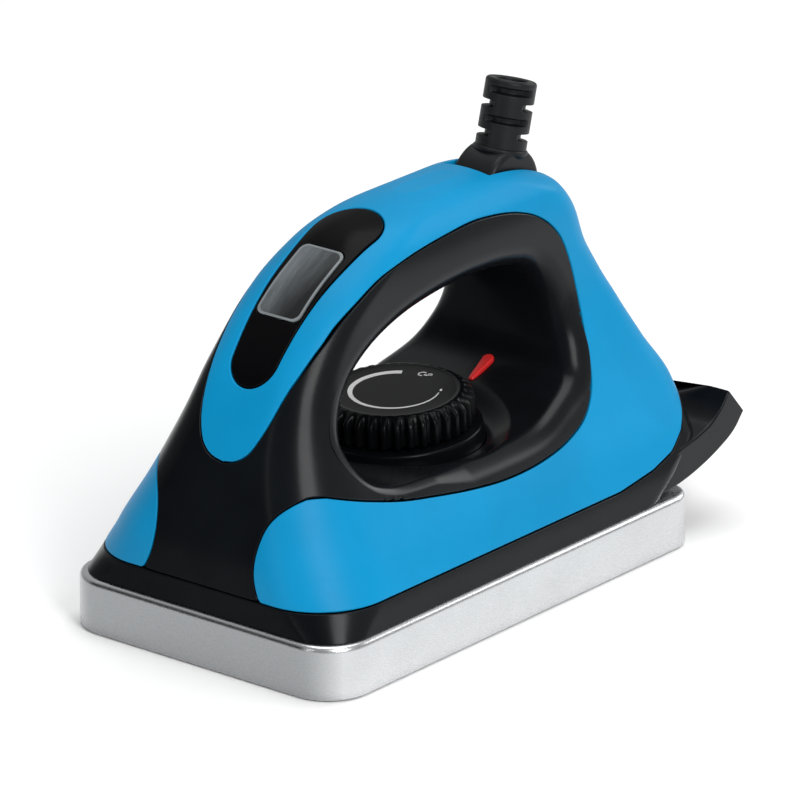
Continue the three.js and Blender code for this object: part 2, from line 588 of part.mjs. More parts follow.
function cordClamp() {
  const holes = [-CLAMP_SCREWS.x, CLAMP_SCREWS.x].map(
    (x) => rod(SCREW.shaft + GAP, 30, 50, 12).translate([x, CLAMP_SCREWS.y, 0]));
  return cut(block(-9, 9, 48.8, 56.8, 38, 42), ...holes);
}

const clampScrew = (x) => screw(CLAMP_SCREWS.head, 3).translate([x, CLAMP_SCREWS.y, 0]);

// ---------------------------------------------------------------- materials
const finish = (color, roughness, metalness = 0) => () => new THREE.MeshStandardMaterial(
  { color, roughness, metalness });
const aluminium = finish(0xc9ccce, 0.3, 1);
const steel = finish(0xb4b8bc, 0.35, 1);
const brass = finish(0xb59a4a, 0.35, 1);
const blackPlastic = finish(0x1b1d1f, 0.35);
const bluePlastic = finish(0x1b96d6, 0.4);
const rubber = finish(0x17191a, 0.7);
const smokedGlass = finish(0x4a4f52, 0.08);
const redPlastic = finish(0xd72323, 0.3);
const circuitBoard = finish(0x1d5c38, 0.5);
const mineralWool = finish(0xd8d2c2, 0.95);

// ---------------------------------------------------------------- assembly
const iron = new THREE.Group();

function place(name, body, material) {
  const mesh = new THREE.Mesh(geometryOf(body), material());
  mesh.name = name;
  iron.add(mesh);
  return mesh;
}

place('soleplate', soleplate(), aluminium);
place('heating_element', heatingElement(), steel);
place('element_terminal_left', elementTerminal(-1), brass);
place('element_terminal_right', elementTerminal(1), brass);
place('insulation_pad', insulationPad(), mineralWool);
place('heat_shield', heatShield(), steel);
place('temperature_sensor', temperatureSensor(), steel);
place('thermal_cutout', thermalCutout(), steel);
SOLE_SCREWS.forEach(([x, y], k) => {
  place(`standoff_${k + 1}`, standoff(), steel).position.set(x, y, 0);
  place(`sole_screw_${k + 1}`, screw(FLOOR.top + GAP, 12), steel).position.set(x, y, 0);
});
HOUSING_SCREWS.forEach(([x, y], k) => {
  place(`housing_screw_${k + 1}`, screw(FLOOR.bottom - GAP, 10, true), steel).position.set(x, y, 0);
});
place('lower_housing', lowerHousing(), blackPlastic);
place('upper_housing', upperHousing(), blackPlastic);
place('handle_cover', handleCover(), bluePlastic);
place('display_bezel', displayBezel(), blackPlastic);
place('display_lens', displayLens(), smokedGlass);
place('display_module', displayModule(), smokedGlass);
place('display_board', displayBoard(), circuitBoard);
place('dial_collar', dialCollar(), blackPlastic);
place('dial_potentiometer', dialPotentiometer(), steel);
place('dial_nut', dialNut(), steel);
place('dial_shaft', dialShaft(), steel);
place('thermostat_dial', thermostatDial(), blackPlastic);
place('pilot_pointer', pilotPointer(), redPlastic);
place('pilot_lamp', pilotLamp(), redPlastic);
place('swivel_drum', swivelDrum(), blackPlastic);
place('cord_strain_relief', cordStrainRelief(), rubber);
place('swivel_pin', swivelPin(), steel);
place('control_board', controlBoard(), circuitBoard);
place('triac', triac(), blackPlastic);
place('heat_sink', heatSink(), aluminium);
place('capacitor', capacitor(), blackPlastic);
place('terminal_block', terminalBlock(), mineralWool);
place('cord_clamp', cordClamp(), blackPlastic);
place('clamp_screw_left', clampScrew(-CLAMP_SCREWS.x), steel);
place('clamp_screw_right', clampScrew(CLAMP_SCREWS.x), steel);

export default iron;
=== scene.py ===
import json
import math

import bpy
import numpy as np
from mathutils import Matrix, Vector


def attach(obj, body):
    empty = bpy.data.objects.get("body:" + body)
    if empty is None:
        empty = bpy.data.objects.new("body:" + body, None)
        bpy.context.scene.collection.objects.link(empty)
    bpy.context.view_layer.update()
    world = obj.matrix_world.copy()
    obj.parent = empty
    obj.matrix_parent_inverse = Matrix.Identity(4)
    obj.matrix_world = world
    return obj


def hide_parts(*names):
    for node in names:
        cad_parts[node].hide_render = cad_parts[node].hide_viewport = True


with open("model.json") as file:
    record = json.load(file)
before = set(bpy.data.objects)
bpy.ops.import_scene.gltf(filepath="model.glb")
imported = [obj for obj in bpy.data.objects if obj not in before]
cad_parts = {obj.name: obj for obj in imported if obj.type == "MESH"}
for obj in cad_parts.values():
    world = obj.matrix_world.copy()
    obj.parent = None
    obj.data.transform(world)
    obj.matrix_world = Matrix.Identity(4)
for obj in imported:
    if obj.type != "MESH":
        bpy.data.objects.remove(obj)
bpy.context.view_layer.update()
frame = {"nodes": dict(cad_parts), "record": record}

MM = 0.001
GROOVE = 0.3  # width of the seam between two shells
EDGE = 0.35  # radius of a shell's visible edge
SHELL = 2.0  # wall of the visible shells
SKIRT_TOP = 20.65  # joint between the skirt and what stands on it, along the sides
MARGIN = GROOVE / 2 + EDGE  # from the middle of a seam to where a shell starts to round off
NEAR_ZERO = 1e-4  # least distance of a point from a cut
FAR = 50.0  # distance given to points that a window or slot can't reach
KEPT = -9.0  # value of points that no hole can reach

# Camera, and the point that the lights face, in metres and degrees.
CAMERA = {"azimuth": 39.06, "elevation": 20.43, "distance": 2.0, "target": (0.0145, -0.01116, 0.055),
          "lens": 366.8, "sensor": 36.0}
MIDDLE = (0, 0, 0.05)
GRAIN_DEPTH = 0.0001  # height of the finest relief, in metres
GLOSS_SPREAD = 0.14  # how far the roughness of one surface varies

# Body shape by height: nose line, back line, half width, and the corners' half axes.
BODY_KEYS = ("z", "front", "back", "half", "fx", "fy", "rx", "ry")
BODY = np.array([
    (14.3, -70.5, 66, 42.5, 12, 12, 12, 12),
    (20.5, -70.2, 75, 41, 18, 19, 10, 11),
    (27, -69.4, 80.6, 38.3, 18.5, 23, 5, 7),
    (39, -65.8, 81.2, 31.5, 16.5, 22, 6, 8),
    (50, -62, 77.3, 25.5, 15, 18, 7.5, 8),
    (60, -57.4, 73, 21, 12.5, 14, 7.5, 7.5),
    (69, -51.9, 68.4, 18.6, 10, 12, 8, 8),
    (78, -44.6, 63.9, 17.5, 10, 12, 8.6, 9),
    (86, -35.8, 61.2, 17, 11, 13, 8.6, 9.5),
    (93, -24.5, 57, 15.6, 11.5, 14, 9.5, 9.5),
    (97.5, -15.5, 50, 12.6, 11, 15, 11, 12.5),
    (100.2, -3.5, 40, 8.3, 8, 15, 8, 14),
    (101.2, 6, 27, 3.5, 2.8, 8, 2.8, 8),
])
# Handle opening in side view, as (y, z), inside the rounding of its edge.
THROAT = [(30, 78), (17, 79), (2, 78.2), (-12, 75.8), (-24, 71.6), (-33, 66), (-39, 59), (-41.5, 51.5),
          (-39.5, 45.5), (-33, 42.2), (-18, 40.6), (5, 39.8), (24, 40.6), (34.6, 43.7), (43.2, 47.9),
          (45.5, 53), (46, 60), (44.5, 68), (39.5, 75)]
# Black field round the opening in side view: back over the handle, down behind the opening and
# forward below it. The second list closes it ahead of the nose.
FIELD = [(-50, 71.3), (-40.9, 78.6), (-30.5, 84.9), (-20.1, 89.7), (-8.9, 92), (6.9, 93.6), (19.3, 94),
         (33.3, 92), (42, 88.4), (48.9, 82), (52.4, 74), (53.6, 64), (52.3, 54.5), (48.8, 45.8),
         (42.4, 39.7), (33.1, 36.2), (21, 34.3), (7.2, 33.9), (-6, 34.9), (-21, 37), (-31, 38.7),
         (-41, 41.2), (-54, 45)]
FIELD_FRONT = [(-64, 45.6), (-80, 45.6), (-80, 72)]
# Blue tongue below the display and black of the nose in front view, right half, as (x, z).
TONGUE = [(0, 50.3), (3.8, 51.1), (7, 53.3), (9.2, 57), (10.9, 61.5), (12, 66), (13.2, 71.5),
          (13.9, 75.5), (14.4, 79), (13.2, 84)]
NOSE = [(18.6, 14), (18.6, 20), (16.2, 26), (15.8, 32), (17.5, 39), (20.6, 43), (24.8, 45.6), (34, 46.4),
        (34, 50)]
# The opening's edge: its radius at the deck and on the columns, with the height where it starts to
# grow, and the sharper radius at the front of the deck, with where that fades out.
EDGE_ROUND = {"low": 4.0, "high": 6.5, "from": 42.0, "over": 14.0, "sharp": 1.9, "sharp_y": -5.0,
              "fade_y": 12.0, "sharp_z": 54.0, "fade_z": 9.0}
# Places, sizes and tilts of the single pieces.
BOWL = {"radius": 29.5, "slope": 6.0, "depth": 2.6, "below": 47.0}
DIAL = {"y": 4.7, "top": 49.9, "tilt": 4.0, "radius": 19.9, "height": 8.0, "teeth": 36}
COLLAR = {"radius": 22.2, "bore": 17.6, "top": -8.9, "floor": -11.5, "bottom": -13.4, "hole": 22.4}
SWIVEL = {"y": 44.0, "z": 93.0, "radius": 10.5, "half": 6.4, "lean": -15.0, "clear": 0.8}
BOOT = {"radius": 6.5, "bore": 3.85, "start": 9.6, "end": 26.95, "slots": (13.1, 16.8, 20.5, 24.2),
        "slot_depth": 1.9, "slot_half": 0.8, "turn": 39.0}
DISPLAY = {"y": -31.8, "z": 88.1, "slope": 33.4}
BEZEL = {"length": 58.0, "front": 14.0, "rear": 19.4, "shift": -0.5, "reach": 22.0}
LENS = {"width": 13.2, "length": 22.4, "corner": 2.0, "reach": 14.0, "border": 0.45}
POINTER = {"y": 38.9, "z": 45.8, "slope": 26.0, "length": 9.6, "narrow": 1.6, "wide": 3.2,
           "depth": 4.0}
TAIL = {"half": 40.0, "edge": 0.6, "dish": 26.8, "dish_radius": 70.0, "lip": 0.6}
# Underside and top of the tail on the middle line, as (y, z).
TAIL_UNDER = [(56, 14.4), (64, 14.4), (69.9, 15), (78.4, 16.9), (86.1, 19.6), (92.3, 22.8), (96.2, 26.9)]
TAIL_OVER = [(56, 20.6), (64, 22.6), (70, 24.3), (77, 25.7), (82.6, 27.6), (86.7, 30.6), (89.7, 34.3)]
# Plate: the two corner radii are those of the nose and the tail.
SOLE = {"width": 88.0, "length": 144.0, "height": 14.0, "front": 12.0, "rear": 8.0, "chamfer": 0.8,
        "bevel_in": 1.4, "bevel_down": 1.6}


# ---------------------------------------------------------------- camera, floor and light
def make_camera():
    azimuth, elevation = math.radians(CAMERA["azimuth"]), math.radians(CAMERA["elevation"])
    back = Vector((math.sin(azimuth) * math.cos(elevation), -math.cos(azimuth) * math.cos(elevation),
                   math.sin(elevation)))
    data = bpy.data.cameras.new("camera")
    data.sensor_width = CAMERA["sensor"]
    data.lens = CAMERA["lens"]
    camera = bpy.data.objects.new("camera", data)
    camera.location = Vector(CAMERA["target"]) + back * CAMERA["distance"]
    camera.rotation_euler = back.to_track_quat("Z", "Y").to_euler()
    bpy.context.scene.collection.objects.link(camera)
    bpy.context.scene.camera = camera


def towards_middle(place):
    return (Vector(place) - Vector(MIDDLE)).to_track_quat("Z", "Y").to_euler()


def area_light(name, place, size, power):
    data = bpy.data.lights.new(name, "AREA")
    data.shape = "RECTANGLE"
    data.size, data.size_y = size
    data.energy = power
    light = bpy.data.objects.new(name, data)
    light.location = place
    light.rotation_euler = towards_middle(place)
    bpy.context.scene.collection.objects.link(light)


def make_flag(place, size):
    """Black flag beside the picture, which the glossy nose reflects."""
    bpy.ops.mesh.primitive_plane_add(size=1.0, location=place)
    flag = bpy.context.object
    flag.name = "dark_card"
    flag.scale = (*size, 1)
    flag.rotation_euler = towards_middle(place)
    flag.data.materials.append(simple_noise("flag_black", (0.01, 0.01, 0.01), 0.95, 0.1, 3.0))


def make_floor(size, drop):
    """Plain pale floor, a little below the plate so that the two don't coincide."""
    bpy.ops.mesh.primitive_plane_add(size=size, location=(0, 0, -drop))
    floor = bpy.context.object
    floor.name = "floor"
    floor.data.materials.append(simple_noise("floor_white", (0.93, 0.93, 0.93), 0.9, 0.02, 3.0))


def make_studio():
    scene = bpy.context.scene
    scene.view_settings.view_transform = "Standard"
    world = bpy.data.worlds.new("studio")
    world.use_nodes = True
    background = world.node_tree.nodes["Background"]
    background.inputs["Color"].default_value = (1, 1, 1, 1)
    background.inputs["Strength"].default_value = 0.42
    scene.world = world
    area_light("key", (1.1, -0.45, 0.9), (0.5, 0.8), 11)
    area_light("top", (-0.1, 0.2, 1.3), (1.0, 1.0), 9)
    area_light("rear", (0.4, 1.3, 0.7), (0.9, 0.5), 5)
    area_light("front_strip", (-0.15, -1.2, 0.5), (0.06, 0.8), 1.6)
    area_light("side_strip", (1.25, -0.75, 0.75), (0.05, 0.5), 1.5)
    make_flag((-0.75, -1.0, 0.45), (1.1, 0.8))
    make_floor(12.0, 0.0002)


# ---------------------------------------------------------------- materials
def principled(name):
    material = bpy.data.materials.new(name)
    material.use_nodes = True
    return material, material.node_tree, material.node_tree.nodes["Principled BSDF"]


def noise(tree, scale, detail=4.0, roughness=0.55, stretch=None):
    place = tree.nodes.new("ShaderNodeTexCoord")
    texture = tree.nodes.new("ShaderNodeTexNoise")
    texture.inputs["Scale"].default_value = scale
    texture.inputs["Detail"].default_value = detail
    texture.inputs["Roughness"].default_value = roughness
    if stretch:
        mapping = tree.nodes.new("ShaderNodeMapping")
        mapping.inputs["Scale"].default_value = stretch
        tree.links.new(place.outputs["Object"], mapping.inputs["Vector"])
        tree.links.new(mapping.outputs["Vector"], texture.inputs["Vector"])
    else:
        tree.links.new(place.outputs["Object"], texture.inputs["Vector"])
    return texture.outputs["Fac"]


def ramp(tree, factor, low, high, start=0.35, end=0.65):
    """Colour that goes from low to high between two values of the factor."""
    node = tree.nodes.new("ShaderNodeValToRGB")
    node.color_ramp.elements[0].position = start
    node.color_ramp.elements[1].position = end
    node.color_ramp.elements[0].color = (*low, 1)
    node.color_ramp.elements[1].color = (*high, 1)
    tree.links.new(factor, node.inputs["Fac"])
    return node.outputs["Color"]


def levels(tree, factor, low, high):
    """Middle of a noise's range stretched to run from low to high."""
    node = tree.nodes.new("ShaderNodeMapRange")
    node.inputs["From Min"].default_value = 0.3
    node.inputs["From Max"].default_value = 0.7
    node.inputs["To Min"].default_value = low
    node.inputs["To Max"].default_value = high
    tree.links.new(factor, node.inputs["Value"])
    return node.outputs["Result"]


def bump(tree, shader, factor, strength):
    node = tree.nodes.new("ShaderNodeBump")
    node.inputs["Strength"].default_value = strength
    node.inputs["Distance"].default_value = GRAIN_DEPTH
    tree.links.new(factor, node.inputs["Height"])
    tree.links.new(node.outputs["Normal"], shader.inputs["Normal"])


def simple_noise(name, color, roughness, spread, scale, metallic=0.0, grain=0.0, grain_scale=2500.0,
                 stretch=None, specular=0.5):
    """Moulded or milled surface: cloudy colour, uneven gloss and a fine grain."""
    material, tree, shader = principled(name)
    cloud = noise(tree, scale)
    low = [max(0.0, c * (1 - spread)) for c in color]
    high = [min(1.0, c * (1 + spread)) for c in color]
    tree.links.new(ramp(tree, cloud, low, high), shader.inputs["Base Color"])
    fine = noise(tree, grain_scale, 3.0, 0.6, stretch)
    rough = levels(tree, fine, roughness * (1 - GLOSS_SPREAD), min(1.0, roughness * (1 + GLOSS_SPREAD)))
    tree.links.new(rough, shader.inputs["Roughness"])
    shader.inputs["Metallic"].default_value = metallic
    shader.inputs["Specular IOR Level"].default_value = specular
    if grain:
        bump(tree, shader, fine, grain)
    return material


def front_shade_mask(tree, start, end):
    """Goes from zero to one while the surface turns from the sides to the nose (its normal's Y falls); it
    places painted shade on front-facing surfaces.
    """
    geometry = tree.nodes.new("ShaderNodeNewGeometry")
    split = tree.nodes.new("ShaderNodeSeparateXYZ")
    front_shade = tree.nodes.new("ShaderNodeMapRange")
    front_shade.inputs["From Min"].default_value = start
    front_shade.inputs["From Max"].default_value = end
    tree.links.new(geometry.outputs["Normal"], split.inputs["Vector"])
    tree.links.new(split.outputs["Y"], front_shade.inputs["Value"])
    return front_shade


def satin_black():
    """Moulded black plastic; its reflection is weakened where the surface faces the front, painted shade
    that keeps the nose darker than the sides.
    """
    # Specular levels on the sides and on the nose; the low nose level is painted shade.
    sides, nose = 0.2, 0.03
    material = simple_noise("black_plastic", (0.0045, 0.0055, 0.0068), 0.23, 0.2, 50.0, grain=0.02,
                            specular=sides)
    tree = material.node_tree
    front_shade = front_shade_mask(tree, -0.35, -0.75)
    front_shade.inputs["To Min"].default_value = sides
    front_shade.inputs["To Max"].default_value = nose
    tree.links.new(front_shade.outputs["Result"], tree.nodes["Principled BSDF"].inputs["Specular IOR Level"])
    return material


def plate_metal():
    """Aluminium plate with a fine grain; faces turned to the front get a darker base colour, painted shade
    for a front that the lamps light less than the sides.
    """
    material = simple_noise("aluminium", (0.62, 0.63, 0.64), 0.28, 0.04, 45.0, metallic=1.0, grain=0.15,
                            grain_scale=700.0, stretch=(1.0, 1.0, 9.0))
    tree = material.node_tree
    shader = tree.nodes["Principled BSDF"]
    source = shader.inputs["Base Color"].links[0].from_socket
    # Painted shade: faces turned to the front get a darker base colour than the bright sides.
    front_shade = front_shade_mask(tree, -0.55, -0.98)
    mix = tree.nodes.new("ShaderNodeMix")
    mix.data_type = "RGBA"
    mix.inputs["B"].default_value = (0.33, 0.34, 0.35, 1)
    tree.links.new(front_shade.outputs["Result"], mix.inputs["Factor"])
    tree.links.new(source, mix.inputs["A"])
    tree.links.new(mix.outputs["Result"], shader.inputs["Base Color"])
    return material


def smoked_glass():
    """Smoked dark window with a painted reflection: its colour pales towards its left edge, with faint
    streaks down its length that also vary its gloss.
    """
    lean, width = -0.25, 0.014
    material, tree, shader = principled("smoked_glass")
    place = tree.nodes.new("ShaderNodeTexCoord")
    split = tree.nodes.new("ShaderNodeSeparateXYZ")
    slant = tree.nodes.new("ShaderNodeMath")
    slant.operation = "MULTIPLY_ADD"
    slant.inputs[1].default_value = lean
    reflection_band = tree.nodes.new("ShaderNodeMapRange")
    reflection_band.inputs["From Min"].default_value = width
    reflection_band.inputs["From Max"].default_value = 0.0
    streak = noise(tree, 60.0, 3.0, 0.6, (6.0, 1.0, 1.0))
    streaked_reflection = tree.nodes.new("ShaderNodeMath")
    streaked_reflection.operation = "MULTIPLY"
    tree.links.new(place.outputs["Object"], split.inputs["Vector"])
    tree.links.new(split.outputs["Y"], slant.inputs[0])
    tree.links.new(split.outputs["X"], slant.inputs[2])
    tree.links.new(slant.outputs["Value"], reflection_band.inputs["Value"])
    tree.links.new(reflection_band.outputs["Result"], streaked_reflection.inputs[0])
    tree.links.new(levels(tree, streak, 0.55, 1.3), streaked_reflection.inputs[1])
    # Painted reflection: the dark glass colour turns paler where the band and its streaks are strong.
    color = ramp(tree, streaked_reflection.outputs["Value"], (0.012, 0.013, 0.014), (0.15, 0.17, 0.18), 0.05, 1.0)
    tree.links.new(color, shader.inputs["Base Color"])
    tree.links.new(levels(tree, streak, 0.2, 0.3), shader.inputs["Roughness"])
    shader.inputs["Specular IOR Level"].default_value = 0.2
    shader.inputs["Transmission Weight"].default_value = 0.15
    shader.inputs["IOR"].default_value = 1.49
    return material


def make_materials():
    """One finish for each slot of the CAD record, and two more for the print and the lens border."""
    return {
        "sole_aluminium": plate_metal(),
        "steel_parts": simple_noise("steel", (0.55, 0.56, 0.57), 0.35, 0.1, 120.0, metallic=1.0, grain=0.2),
        "terminal_brass": simple_noise("brass", (0.62, 0.5, 0.25), 0.3, 0.12, 120.0, metallic=1.0,
                                       grain=0.2),
        "insulation": simple_noise("mineral_wool", (0.72, 0.68, 0.58), 0.95, 0.2, 300.0, grain=0.8,
                                   grain_scale=900.0),
        "black_housing": satin_black(),
        "blue_cover": simple_noise("blue_plastic", (0.001, 0.232, 0.47), 0.42, 0.06, 28.0, grain=0.05,
                                   specular=0.12),
        "bezel_gloss": simple_noise("gloss_black", (0.001, 0.001, 0.0014), 0.3, 0.2, 50.0, grain=0.02,
                                    specular=0.06),
        "lens_glass": smoked_glass(),
        "display_glass": simple_noise("display", (0.03, 0.032, 0.034), 0.3, 0.15, 150.0, grain=0.05),
        "circuit_board": simple_noise("board_green", (0.03, 0.15, 0.07), 0.45, 0.2, 200.0, grain=0.2),
        "dial_black": simple_noise("dial_plastic", (0.003, 0.0034, 0.004), 0.24, 0.2, 90.0, grain=0.05,
                                   specular=0.09),
        "pointer_red": simple_noise("red_plastic", (0.68, 0.02, 0.02), 0.25, 0.12, 200.0, grain=0.05),
        "boot_rubber": simple_noise("rubber", (0.006, 0.007, 0.008), 0.45, 0.2, 150.0, grain=0.15,
                                    specular=0.2),
        "component_black": simple_noise("component_plastic", (0.006, 0.007, 0.008), 0.4, 0.2, 90.0,
                                        grain=0.08, specular=0.2),
        "terminal_body": simple_noise("pale_plastic", (0.66, 0.64, 0.56), 0.5, 0.1, 120.0, grain=0.2),
        "print_white": simple_noise("white_print", (0.86, 0.86, 0.86), 0.45, 0.04, 300.0, grain=0.1),
        "lens_frame": simple_noise("lens_frame", (0.17, 0.19, 0.20), 0.3, 0.1, 200.0, grain=0.05),
    }


# ---------------------------------------------------------------- surface tools
class Surface:
    """Triangles with a normal at each point, in millimetres."""

    def __init__(self, points, normals, faces):
        self.points = np.asarray(points, float)
        self.normals = np.asarray(normals, float)
        self.faces = np.asarray(faces, int)

    def joined(self, other):
        shift = len(self.points)
        return Surface(np.vstack([self.points, other.points]), np.vstack([self.normals, other.normals]),
                       np.vstack([self.faces, other.faces + shift]))

    def turned(self, degrees, place):
        """Turned about X and moved, as the CAD places its tilted pieces."""
        angle = math.radians(degrees)
        turn = np.array([[1, 0, 0], [0, math.cos(angle), -math.sin(angle)],
                         [0, math.sin(angle), math.cos(angle)]])
        return Surface(self.points @ turn.T + np.array(place), self.normals @ turn.T, self.faces)

    def clipped(self, value):
        """The part where value(points) is below zero, cut along its zero line."""
        s = value(self.points)
        s = np.where(np.abs(s) < NEAR_ZERO, NEAR_ZERO, s)
        inside = s < 0
        count = inside[self.faces].sum(1)
        mixed = self.faces[(count == 1) | (count == 2)]
        lone_in = inside[mixed].sum(1) == 1
        first = np.where(lone_in, np.argmax(inside[mixed], 1), np.argmin(inside[mixed], 1))
        rows = np.arange(len(mixed))
        a, b, c = (mixed[rows, (first + k) % 3] for k in range(3))
        total = len(self.points)
        keys = np.concatenate([np.minimum(a, b) * total + np.maximum(a, b),
                               np.minimum(a, c) * total + np.maximum(a, c)])
        unique, where = np.unique(keys, return_inverse=True)
        low, high = unique // total, unique % total
        t = (s[low] / (s[low] - s[high]))[:, None]
        points = np.vstack([self.points, self.points[low] * (1 - t) + self.points[high] * t])
        normals = np.vstack([self.normals, self.normals[low] * (1 - t) + self.normals[high] * t])
        ab, ac = total + where[:len(mixed)], total + where[len(mixed):]
        faces = [self.faces[count == 3]]
        faces.append(np.stack([a, ab, ac], 1)[lone_in])
        faces.append(np.stack([ab, b, c], 1)[~lone_in])
        faces.append(np.stack([ab, c, ac], 1)[~lone_in])
        faces = np.vstack(faces)
        used, faces = np.unique(faces, return_inverse=True)
        return Surface(points[used], unit(normals[used]), faces.reshape(-1, 3))

    def shell(self, thickness=SHELL, edge=EDGE):
        """A closed wall behind the surface, with rounded free edges."""
        half_edges = np.vstack([self.faces[:, [0, 1]], self.faces[:, [1, 2]], self.faces[:, [2, 0]]])
        total = len(self.points)
        keys = half_edges[:, 0] * total + half_edges[:, 1]
        twins = half_edges[:, 1] * total + half_edges[:, 0]
        rim = half_edges[~np.isin(keys, twins)]
        along = unit(self.points[rim[:, 1]] - self.points[rim[:, 0]])
        outward = np.zeros_like(self.points)
        for end in (0, 1):
            np.add.at(outward, rim[:, end], np.cross(along, self.normals[rim[:, end]]))
        ids = np.unique(rim)
        number = np.full(total, -1)
        number[ids] = np.arange(len(ids))
        p, n, t = self.points[ids], self.normals[ids], unit(outward[ids])
        rings, ring_normals = [], []
        for degrees in (22.5, 45, 67.5, 90):
            s, c = math.sin(math.radians(degrees)), math.cos(math.radians(degrees))
            rings.append(p + edge * s * t - edge * (1 - c) * n)
            ring_normals.append(c * n + s * t)
        rings.append(p + edge * t - thickness * n)
        ring_normals.append(t)
        points, normals, faces = [self.points], [self.normals], [self.faces]
        before, size = None, total
        for ring, ring_normal in zip(rings, ring_normals):
            points.append(ring)
            normals.append(ring_normal)
            near = rim if before is None else before + number[rim]
            far = size + number[rim]
            faces.append(np.stack([near[:, 1], near[:, 0], far[:, 0]], 1))
            faces.append(np.stack([near[:, 1], far[:, 0], far[:, 1]], 1))
            before, size = size, size + len(ids)
        points.append(self.points - thickness * self.normals)
        normals.append(-self.normals)
        faces.append(self.faces[:, ::-1] + size)
        near, far = before + number[rim], size + rim
        faces.append(np.stack([near[:, 1], near[:, 0], far[:, 0]], 1))
        faces.append(np.stack([near[:, 1], far[:, 0], far[:, 1]], 1))
        return Surface(np.vstack(points), np.vstack(normals), np.vstack(faces))


def unit(vectors):
    return vectors / np.maximum(np.linalg.norm(vectors, axis=1, keepdims=True), 1e-9)


def grid_surface(grid, wrap_rows=False, wrap_columns=True, outward=1):
    """Surface through a rows x columns grid of points, with smooth normals."""
    rows, columns = grid.shape[:2]
    down = np.gradient(grid, axis=0)
    if wrap_rows:
        down = (np.roll(grid, -1, 0) - np.roll(grid, 1, 0)) / 2
    across = (np.roll(grid, -1, 1) - np.roll(grid, 1, 1)) / 2 if wrap_columns else np.gradient(grid, axis=1)
    normals = unit(np.cross(across, down).reshape(-1, 3)) * outward
    index = np.arange(rows * columns).reshape(rows, columns)
    if wrap_columns:
        index = np.hstack([index, index[:, :1]])
    if wrap_rows:
        index = np.vstack([index, index[:1]])
    a, b = index[:-1, :-1].ravel(), index[:-1, 1:].ravel()
    c, d = index[1:, 1:].ravel(), index[1:, :-1].ravel()
    faces = np.vstack([np.stack([a, b, c], 1), np.stack([a, c, d], 1)])
    if outward < 0:
        faces = faces[:, ::-1]
    return Surface(grid.reshape(-1, 3), normals, faces)


def lathe(outline, columns=96):
    """Turned surface about Z from a (radius, height) outline that runs with the solid on its left."""
    angles = np.linspace(0, 2 * math.pi, columns, endpoint=False)
    outline = np.array(outline, float)
    grid = np.stack([outline[:, :1] * np.cos(angles), outline[:, :1] * np.sin(angles),
                     np.repeat(outline[:, 1:], columns, 1)], 2)
    return grid_surface(grid)


def rounded(outline, radius, steps=4):
    """Open polyline with its inner corners rounded off."""
    outline = [np.array(p, float) for p in outline]
    result = [outline[0]]
    for before, corner, after in zip(outline, outline[1:], outline[2:]):
        shortest = min(np.linalg.norm(before - corner), np.linalg.norm(after - corner))
        reach = min(radius, shortest * 0.45)
        start = corner + (before - corner) / np.linalg.norm(before - corner) * reach
        end = corner + (after - corner) / np.linalg.norm(after - corner) * reach
        for k in range(steps + 1):
            t = k / steps
            result.append((1 - t) ** 2 * start + 2 * t * (1 - t) * corner + t ** 2 * end)
    result.append(outline[-1])
    return result


def make_object(name, surface, material, body, nodes=()):
    mesh = bpy.data.meshes.new(name)
    mesh.from_pydata((surface.points * MM).tolist(), [], surface.faces.tolist())
    mesh.validate()
    if len(mesh.vertices) == len(surface.points):
        mesh.shade_smooth()
        mesh.normals_split_custom_set_from_vertices(unit(surface.normals).tolist())
    mesh.materials.append(material)
    piece = bpy.data.objects.new(name, mesh)
    bpy.context.scene.collection.objects.link(piece)
    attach(piece, body)
    if nodes:
        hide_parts(*nodes)
    return piece


# ---------------------------------------------------------------- curves and distances
def spline(points, count, closed=False):
    """Centripetal Catmull-Rom curve, evenly spaced."""
    p = np.array(points, float)
    if closed:
        p = np.vstack([p[-1], p, p[0], p[1]])
    else:
        p = np.vstack([2 * p[0] - p[1], p, 2 * p[-1] - p[-2]])
    fine = []
    for a, b, c, d in zip(p, p[1:], p[2:], p[3:]):
        gaps = [np.linalg.norm(v) ** 0.5 for v in (b - a, c - b, d - c)]
        m1 = (c - b) + gaps[1] * ((b - a) / gaps[0] - (c - a) / (gaps[0] + gaps[1]))
        m2 = (c - b) + gaps[1] * ((d - c) / gaps[2] - (d - b) / (gaps[1] + gaps[2]))
        for t in np.linspace(0, 1, 24, endpoint=False):
            fine.append((2 * t**3 - 3 * t**2 + 1) * b + (t**3 - 2 * t**2 + t) * m1
                        + (3 * t**2 - 2 * t**3) * c + (t**3 - t**2) * m2)
    if not closed:
        fine.append(p[-2])
    fine = np.array(fine)
    if closed:
        fine = np.vstack([fine, fine[:1]])
    length = np.concatenate([[0], np.cumsum(np.linalg.norm(np.diff(fine, axis=0), axis=1))])
    at = np.linspace(0, length[-1], count, endpoint=not closed)
    return np.stack([np.interp(at, length, fine[:, k]) for k in range(2)], 1)


def distance(points, outline):
    """Signed distance from 2D points to a closed outline, negative inside."""
    a = np.array(outline, float)
    b = np.roll(a, -1, 0)
    best = np.full(len(points), 1e9)
    inside = np.zeros(len(points), bool)
    for (x0, y0), (x1, y1) in zip(a, b):
        dx, dy = x1 - x0, y1 - y0
        along = (points[:, 0] - x0) * dx + (points[:, 1] - y0) * dy
        t = np.clip(along / max(dx * dx + dy * dy, 1e-12), 0, 1)
        best = np.minimum(best, np.hypot(points[:, 0] - x0 - t * dx, points[:, 1] - y0 - t * dy))
        if y0 != y1:
            crosses = (points[:, 1] < max(y0, y1)) & (points[:, 1] >= min(y0, y1))
            inside ^= crosses & (points[:, 0] < x0 + (points[:, 1] - y0) * dx / dy)
    return np.where(inside, -best, best)


def mirrored(outline):
    """Closed outline from its right half, which starts or ends on the middle line."""
    outline = np.array(outline, float)
    other = outline[::-1] * (-1, 1)
    return np.vstack([outline, other[np.abs(other[:, 0]) > 1e-6]])


